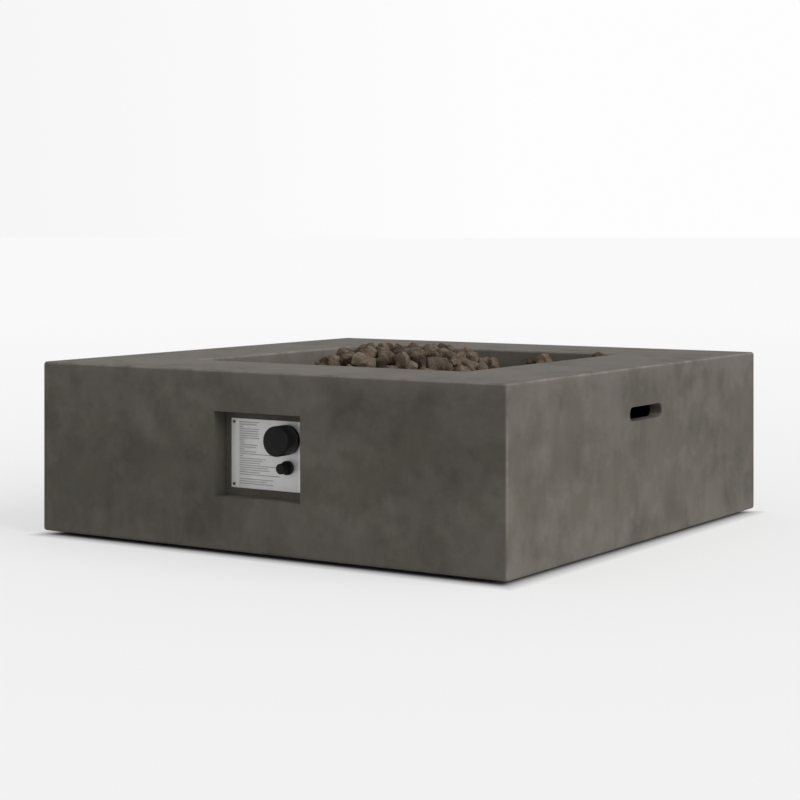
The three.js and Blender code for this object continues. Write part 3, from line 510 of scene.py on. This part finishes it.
knob = addObject("controlKnob", controlKnob(knobSettings), "black_plastic", "knob")
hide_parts("control_knob")

igniterSettings = {"rimRadius": 1.9 * mm, "dome": 0.5 * mm, "sides": 72, "collarLip": 1.4 * mm}


def igniterButton(settings):
    x, z, front, back, radius = nodeAxis("igniter_button")
    rim = settings["rimRadius"]
    face = [(0, front), (radius * 0.45, front + 0.1 * mm), (radius - rim - 0.3 * mm, front + settings["dome"])]
    edge = arcPoints(radius - rim, front + settings["dome"] + rim, rim, -90, 0, 6)
    return turnedMesh("igniterCap", face + edge + [(radius, back - 0.5 * mm), (radius - 0.5 * mm, back), (0, back)],
                      x, z, settings["sides"])


button = addObject("igniterCap", igniterButton(igniterSettings), "black_plastic", "igniter_button")
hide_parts("igniter_button")
print("knob and igniter made")


# lava rock, settled into a pile rock by rock
rockSettings = {
    "seed": 41,
    "shapes": 18,
    "corners": 14,
    "cornerSpacing": 0.60,
    "edgeEase": 0.05,
    "floor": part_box("lava_rock_bed")[0].z,
    "halfSide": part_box("lava_rock_bed")[1].x - 0.001,
    "centreY": (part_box("lava_rock_bed")[0].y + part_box("lava_rock_bed")[1].y) / 2,
    "heapShift": (-0.010, -0.007),
    "layerTop": 0.3040,
    "heapTop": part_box("lava_rock_bed")[1].z,
    "heapRadius": 0.209,
    "heapFlatness": 3.0,
    "heapSizes": (15.5 * mm, 29 * mm),
    "spreadSizes": (10.5 * mm, 18.5 * mm),
    "overlap": 0.80,
    "heapTries": 1500,
    "spreadTries": 1700,
}


def rockShape(index, chance, settings):
    # a block with flat faces between well spread corners, eased along its edges
    corners = []
    while len(corners) < settings["corners"]:
        way = Vector([chance.gauss(0, 1) for _ in range(3)]).normalized()
        if all((way - other).length > settings["cornerSpacing"] for other in corners):
            corners.append(way)
    stretch = Vector((chance.uniform(0.90, 1.12), chance.uniform(0.85, 1.05), chance.uniform(0.74, 0.95)))
    shape = bmesh.new()
    for way in corners:
        shape.verts.new(Vector(a * b for a, b in zip(way, stretch)) * chance.uniform(0.86, 1.0))
    hull = bmesh.ops.convex_hull(shape, input=shape.verts)
    bmesh.ops.delete(shape, geom=[item for item in hull["geom_interior"] if item.is_valid], context="VERTS")
    bmesh.ops.dissolve_limit(shape, angle_limit=math.radians(13), verts=shape.verts, edges=shape.edges)
    bmesh.ops.bevel(shape, geom=shape.edges[:], offset=settings["edgeEase"], offset_type="OFFSET", segments=1,
                    profile=0.5, affect="EDGES", clamp_overlap=True)
    bmesh.ops.remove_doubles(shape, verts=shape.verts, dist=0.004)
    for vertex in shape.verts:
        vertex.co += noise.noise_vector(vertex.co * 1.6 + Vector((index * 7.1, 0, 0))) * 0.06
    bmesh.ops.recalc_face_normals(shape, faces=shape.faces)
    reach = max(vertex.co.length for vertex in shape.verts)
    for vertex in shape.verts:
        vertex.co /= reach
    mesh = bpy.data.meshes.new(f"rockShape{index:02d}")
    shape.to_mesh(mesh)
    shape.free()
    return mesh


def fromHeapCentre(settings, x, y):
    shiftX, shiftY = settings["heapShift"]
    return math.hypot(x - shiftX, y - settings["centreY"] - shiftY) / settings["heapRadius"]


def rockCeiling(settings, x, y):
    away = fromHeapCentre(settings, x, y)
    if away >= 1:
        return settings["layerTop"]
    bulge = (1 - away ** settings["heapFlatness"]) ** (1 / settings["heapFlatness"])
    heap = settings["floor"] + (settings["heapTop"] - settings["floor"]) * bulge
    return max(settings["layerTop"], heap)


# a few stray rocks lie high against the far corner: x, y, z, radius, tone
strayRocks = [
    (0.1550, 0.2860, 0.3195, 0.0255, 0.72),
    (0.1180, 0.2950, 0.3160, 0.0180, 0.08),
    (0.2800, 0.2920, 0.3010, 0.0200, 0.30),
    (0.2820, 0.2950, 0.3360, 0.0170, 0.06),
    (0.3000, 0.3010, 0.3160, 0.0110, 0.12),
    (0.3030, 0.3030, 0.3350, 0.0090, 0.16),
]


def placeInHeap(settings, chance, radius):
    angle = chance.uniform(0, 2 * math.pi)
    away = settings["heapRadius"] * math.sqrt(chance.random())
    shiftX, shiftY = settings["heapShift"]
    return shiftX + away * math.cos(angle), settings["centreY"] + shiftY + away * math.sin(angle)


def placeInSpread(settings, chance, radius):
    room = settings["halfSide"] - radius
    while True:
        x = chance.uniform(-room, room)
        y = settings["centreY"] + chance.uniform(-room, room)
        if fromHeapCentre(settings, x, y) > 0.97:
            return x, y


def settleRocks(settings):
    # each rock comes to rest on the lowest of a few places, if it stays under the pile's outline
    chance = random.Random(settings["seed"])
    settled = [list(rock) for rock in strayRocks]
    for place, sizes, tries, candidates in (
            (placeInHeap, settings["heapSizes"], settings["heapTries"], 14),
            (placeInSpread, settings["spreadSizes"], settings["spreadTries"], 6)):
        for _ in range(tries):
            radius = sizes[0] + (sizes[1] - sizes[0]) * chance.random() ** 1.15
            best = None
            for _ in range(candidates):
                x, y = place(settings, chance, radius)
                z = settings["floor"] + radius
                for otherX, otherY, otherZ, otherRadius, _tone in settled:
                    reach = (radius + otherRadius) * settings["overlap"]
                    flatSquared = (x - otherX) ** 2 + (y - otherY) ** 2
                    if flatSquared < reach * reach:
                        z = max(z, otherZ + math.sqrt(reach * reach - flatSquared))
                if z + radius <= rockCeiling(settings, x, y) and (best is None or z < best[2]):
                    best = (x, y, z)
            if best:
                settled.append((*best, radius, chance.random()))
    return settled


settledRocks = settleRocks(rockSettings)
print("rocks settled:", len(settledRocks))


def rockPoints(rocks, seed):
    # one vertex for each rock, with what the tree reads for it
    chance = random.Random(seed)
    mesh = bpy.data.meshes.new("rockPoints")
    mesh.from_pydata([rock[:3] for rock in rocks], [], [])
    fields = {
        "rockSize": ("FLOAT", [rock[3] for rock in rocks]),
        "rockTone": ("FLOAT", [rock[4] for rock in rocks]),
        "rockShape": ("INT", [chance.randrange(rockSettings["shapes"]) for _ in rocks]),
    }
    for name, (kind, values) in fields.items():
        mesh.attributes.new(name, kind, "POINT").data.foreach_set("value", values)
    turns = [chance.uniform(0, 2 * math.pi) for _ in range(3 * len(rocks))]
    mesh.attributes.new("rockTurn", "FLOAT_VECTOR", "POINT").data.foreach_set("vector", turns)
    return mesh


def readAttribute(tree, name, kind):
    node = tree.nodes.new("GeometryNodeInputNamedAttribute")
    node.data_type = kind
    node.inputs["Name"].default_value = name
    return node.outputs["Attribute"]


def rockPilingTree():
    tree = bpy.data.node_groups.new("rockPiling", "GeometryNodeTree")
    face = tree.interface
    face.new_socket("Points", in_out="INPUT", socket_type="NodeSocketGeometry")
    face.new_socket("Rock shapes", in_out="INPUT", socket_type="NodeSocketCollection")
    face.new_socket("Size factor", in_out="INPUT", socket_type="NodeSocketFloat")
    face.new_socket("Finish", in_out="INPUT", socket_type="NodeSocketMaterial")
    face.new_socket("Rocks", in_out="OUTPUT", socket_type="NodeSocketGeometry")
    given = tree.nodes.new("NodeGroupInput")
    result = tree.nodes.new("NodeGroupOutput")
    shapes = tree.nodes.new("GeometryNodeCollectionInfo")
    shapes.inputs["Separate Children"].default_value = True
    shapes.inputs["Reset Children"].default_value = True
    placed = tree.nodes.new("GeometryNodeInstanceOnPoints")
    placed.inputs["Pick Instance"].default_value = True
    sized = tree.nodes.new("ShaderNodeMath")
    sized.operation = "MULTIPLY"
    real = tree.nodes.new("GeometryNodeRealizeInstances")
    painted = tree.nodes.new("GeometryNodeSetMaterial")
    link = tree.links.new
    link(given.outputs["Points"], placed.inputs["Points"])
    link(given.outputs["Rock shapes"], shapes.inputs["Collection"])
    link(shapes.outputs["Instances"], placed.inputs["Instance"])
    link(readAttribute(tree, "rockShape", "INT"), placed.inputs["Instance Index"])
    link(readAttribute(tree, "rockTurn", "FLOAT_VECTOR"), placed.inputs["Rotation"])
    link(readAttribute(tree, "rockSize", "FLOAT"), sized.inputs[0])
    link(given.outputs["Size factor"], sized.inputs[1])
    link(sized.outputs[0], placed.inputs["Scale"])
    link(placed.outputs["Instances"], real.inputs["Geometry"])
    link(real.outputs["Geometry"], painted.inputs["Geometry"])
    link(given.outputs["Finish"], painted.inputs["Material"])
    link(painted.outputs["Geometry"], result.inputs["Rocks"])
    return tree


def runTree(name, mesh, tree, values):
    # runs a Geometry Nodes tree on a mesh and returns the plain result
    work = bpy.data.objects.new(name + "Work", mesh)
    bpy.context.scene.collection.objects.link(work)
    modifier = work.modifiers.new(tree.name, "NODES")
    modifier.node_group = tree
    for item in tree.interface.items_tree:
        if item.in_out == "INPUT" and item.name in values:
            modifier[item.identifier] = values[item.name]
    result = finishedMesh(work)
    result.name = name
    return result


shapeChance = random.Random(rockSettings["seed"] + 1)
shapeCollection = bpy.data.collections.new("rockShapes")
for index in range(rockSettings["shapes"]):
    shapeMesh = rockShape(index, shapeChance, rockSettings)
    shapeCollection.objects.link(bpy.data.objects.new(shapeMesh.name, shapeMesh))
pilingTree = rockPilingTree()


def inHeap(rock):
    return fromHeapCentre(rockSettings, rock[0], rock[1]) < 1


for name, chosen in (("lavaRockHeap", [rock for rock in settledRocks if inHeap(rock)]),
                     ("lavaRockSpread", [rock for rock in settledRocks if not inHeap(rock)])):
    values = {"Rock shapes": shapeCollection, "Size factor": 1.0, "Finish": finishes["lava_rock"]}
    rockMesh = runTree(name, rockPoints(chosen, len(chosen)), pilingTree, values)
    rockPiece = addObject(name, rockMesh, "lava_rock", "table")
    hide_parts("lava_rock_bed")
    print(name, len(chosen), "rocks,", len(rockMesh.polygons), "faces")
for shapeObject in list(shapeCollection.objects):
    bpy.data.objects.remove(shapeObject)
bpy.data.collections.remove(shapeCollection)


# plain rules on the control plate
ruleSettings = {
    "seed": 12,
    "rows": 27,
    "pitch": 4.25 * mm,
    "firstRow": 0.2460,
    "lastRows": 3,
    "leftEnd": -0.0660,
    "stub": (5 * mm, 12 * mm),
    "besideKnob": (38 * mm, 47 * mm),
    "belowKnob": (46 * mm, 95 * mm),
    "besideIgniter": 90 * mm,
    "height": 1.3 * mm,
    "thickness": 0.06 * mm,
}


def rulePoints(settings):
    chance = random.Random(settings["seed"])
    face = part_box("control_plate")[0].y
    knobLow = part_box("control_knob")[0]
    collarLow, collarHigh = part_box("igniter_housing")
    places, lengths = [], []
    for row in range(settings["rows"]):
        skipped = 1 if row >= settings["rows"] - settings["lastRows"] else 0
        z = settings["firstRow"] - (row + skipped) * settings["pitch"]
        span = settings["besideKnob"] if z > knobLow.z - 3 * mm else settings["belowKnob"]
        length = chance.uniform(*(settings["stub"] if chance.random() < 0.12 else span))
        if collarLow.z - 4 * mm < z < collarHigh.z + 4 * mm:
            length = min(length, settings["besideIgniter"])
        places.append((settings["leftEnd"] + length / 2, face - settings["thickness"] * 0.4, z))
        lengths.append(length)
    mesh = bpy.data.meshes.new("rulePoints")
    mesh.from_pydata(places, [], [])
    mesh.attributes.new("ruleLength", "FLOAT", "POINT").data.foreach_set("value", lengths)
    return mesh


def ruleTree():
    tree = bpy.data.node_groups.new("plateRules", "GeometryNodeTree")
    face = tree.interface
    face.new_socket("Points", in_out="INPUT", socket_type="NodeSocketGeometry")
    face.new_socket("Rule height", in_out="INPUT", socket_type="NodeSocketFloat")
    face.new_socket("Rule thickness", in_out="INPUT", socket_type="NodeSocketFloat")
    face.new_socket("Finish", in_out="INPUT", socket_type="NodeSocketMaterial")
    face.new_socket("Rules", in_out="OUTPUT", socket_type="NodeSocketGeometry")
    given = tree.nodes.new("NodeGroupInput")
    result = tree.nodes.new("NodeGroupOutput")
    strip = tree.nodes.new("GeometryNodeMeshCube")
    placed = tree.nodes.new("GeometryNodeInstanceOnPoints")
    size = tree.nodes.new("ShaderNodeCombineXYZ")
    real = tree.nodes.new("GeometryNodeRealizeInstances")
    painted = tree.nodes.new("GeometryNodeSetMaterial")
    link = tree.links.new
    link(readAttribute(tree, "ruleLength", "FLOAT"), size.inputs["X"])
    link(given.outputs["Rule thickness"], size.inputs["Y"])
    link(given.outputs["Rule height"], size.inputs["Z"])
    link(given.outputs["Points"], placed.inputs["Points"])
    link(strip.outputs["Mesh"], placed.inputs["Instance"])
    link(size.outputs["Vector"], placed.inputs["Scale"])
    link(placed.outputs["Instances"], real.inputs["Geometry"])
    link(real.outputs["Geometry"], painted.inputs["Geometry"])
    link(given.outputs["Finish"], painted.inputs["Material"])
    link(painted.outputs["Geometry"], result.inputs["Rules"])
    return tree


ruleInk = mouldedPlastic("ruleInk", (0.30, 0.30, 0.30), 0.55, 1400.0, 0.15)
ruleMesh = runTree("plateRules", rulePoints(ruleSettings), ruleTree(), {
    "Rule height": ruleSettings["height"], "Rule thickness": ruleSettings["thickness"], "Finish": ruleInk})
addObject("plateRules", ruleMesh, "dark_screw", "table")
print("plate rules:", len(ruleMesh.polygons), "faces")


stageSettings = {
    "floorReach": 400.0,
    "floorColour": 0.41,
    "floorGlow": [(0.0, 0.550), (0.10, 0.555), (0.30, 0.592), (0.60, 0.612), (1.0, 0.630)],
    "darkHalf": 0.510,
    "litHalf": 0.560,
    "skyLeft": 0.905,
    "skyRight": 0.985,
    "ambient": 0.51,
    "keyFrom": (0.86, 0.06, 0.49),
    "keySpread": 50,
    "keyPower": 1.62,
    "backFrom": (-0.8, 0.5, 0.5),
    "backSpread": 70,
    "backPower": 0.10,
}


def makeFloor(settings):
    reach = settings["floorReach"]
    corners = [(-reach, -reach, 0), (reach, -reach, 0), (reach, reach, 0), (-reach, reach, 0)]
    mesh = bpy.data.meshes.new("studioFloor")
    mesh.from_pydata(corners, [], [(0, 1, 2, 3)])
    grey = (settings["floorColour"],) * 3
    material, tree, shader = newFinish("floorPaper", 1.0, colour=grey, Specular_IOR_Level=0.0)
    point = objectPoint(tree)
    distance = addNode(tree, "ShaderNodeVectorMath", {"operation": "LENGTH"}, Vector=point).outputs["Value"]
    glow = ramp(tree, mapped(tree, distance, 0, 10, 0, 1), settings["floorGlow"])
    # the paper looks brighter than it lights the table; its glow is cut away under the table, a painted shadow
    # there
    parts = addNode(tree, "ShaderNodeSeparateXYZ", Vector=point)
    across = mathOf(tree, "ABSOLUTE", parts.outputs["X"])
    along = mathOf(tree, "ABSOLUTE", parts.outputs["Y"])
    # painted shadow: no glow on the paper under the table
    outsidePaintedShade = mapped(tree, mathOf(tree, "MAXIMUM", across, along), settings["darkHalf"], settings["litHalf"], 0, 1)
    path = addNode(tree, "ShaderNodeLightPath")
    seen = mathOf(tree, "MAXIMUM", path.outputs["Is Camera Ray"], path.outputs["Is Glossy Ray"])
    tree.links.new(glow, shader.inputs["Emission Color"])
    tree.links.new(mathOf(tree, "MULTIPLY", outsidePaintedShade, seen), shader.inputs["Emission Strength"])
    mesh.materials.append(material)
    floor = bpy.data.objects.new("studioFloor", mesh)
    bpy.context.scene.collection.objects.link(floor)


def softLight(name, comesFrom, spread, power):
    data = bpy.data.lights.new(name, "SUN")
    data.angle = math.radians(spread)
    data.energy = power
    light = bpy.data.objects.new(name, data)
    light.location = Vector(comesFrom) * 3
    light.rotation_euler = Vector(comesFrom).to_track_quat("Z", "Y").to_euler()
    bpy.context.scene.collection.objects.link(light)


def makeWorld(settings):
    world = bpy.data.worlds.new("studioSky")
    bpy.context.scene.world = world
    world.use_nodes = True
    tree = world.node_tree
    shown = tree.nodes["Background"]
    lit = addNode(tree, "ShaderNodeBackground", Color=(1, 1, 1, 1), Strength=settings["ambient"])
    path = addNode(tree, "ShaderNodeLightPath")
    sight = addNode(tree, "ShaderNodeTexCoord").outputs["Generated"]
    across = addNode(tree, "ShaderNodeSeparateXYZ", Vector=sight).outputs["X"]
    sky = ramp(tree, mapped(tree, across, -0.75, -0.5, 0, 1), [(0, settings["skyLeft"]), (1, settings["skyRight"])])
    tree.links.new(sky, shown.inputs["Color"])
    chosen = addNode(tree, "ShaderNodeMixShader", Fac=path.outputs["Is Camera Ray"])
    tree.links.new(lit.outputs[0], chosen.inputs[1])
    tree.links.new(shown.outputs[0], chosen.inputs[2])
    tree.links.new(chosen.outputs[0], tree.nodes["World Output"].inputs["Surface"])


makeFloor(stageSettings)
for lightName in ("key", "back"):
    softLight(lightName + "Light", stageSettings[lightName + "From"], stageSettings[lightName + "Spread"],
              stageSettings[lightName + "Power"])
makeWorld(stageSettings)
bpy.context.scene.view_settings.view_transform = "Standard"
print("stage made")
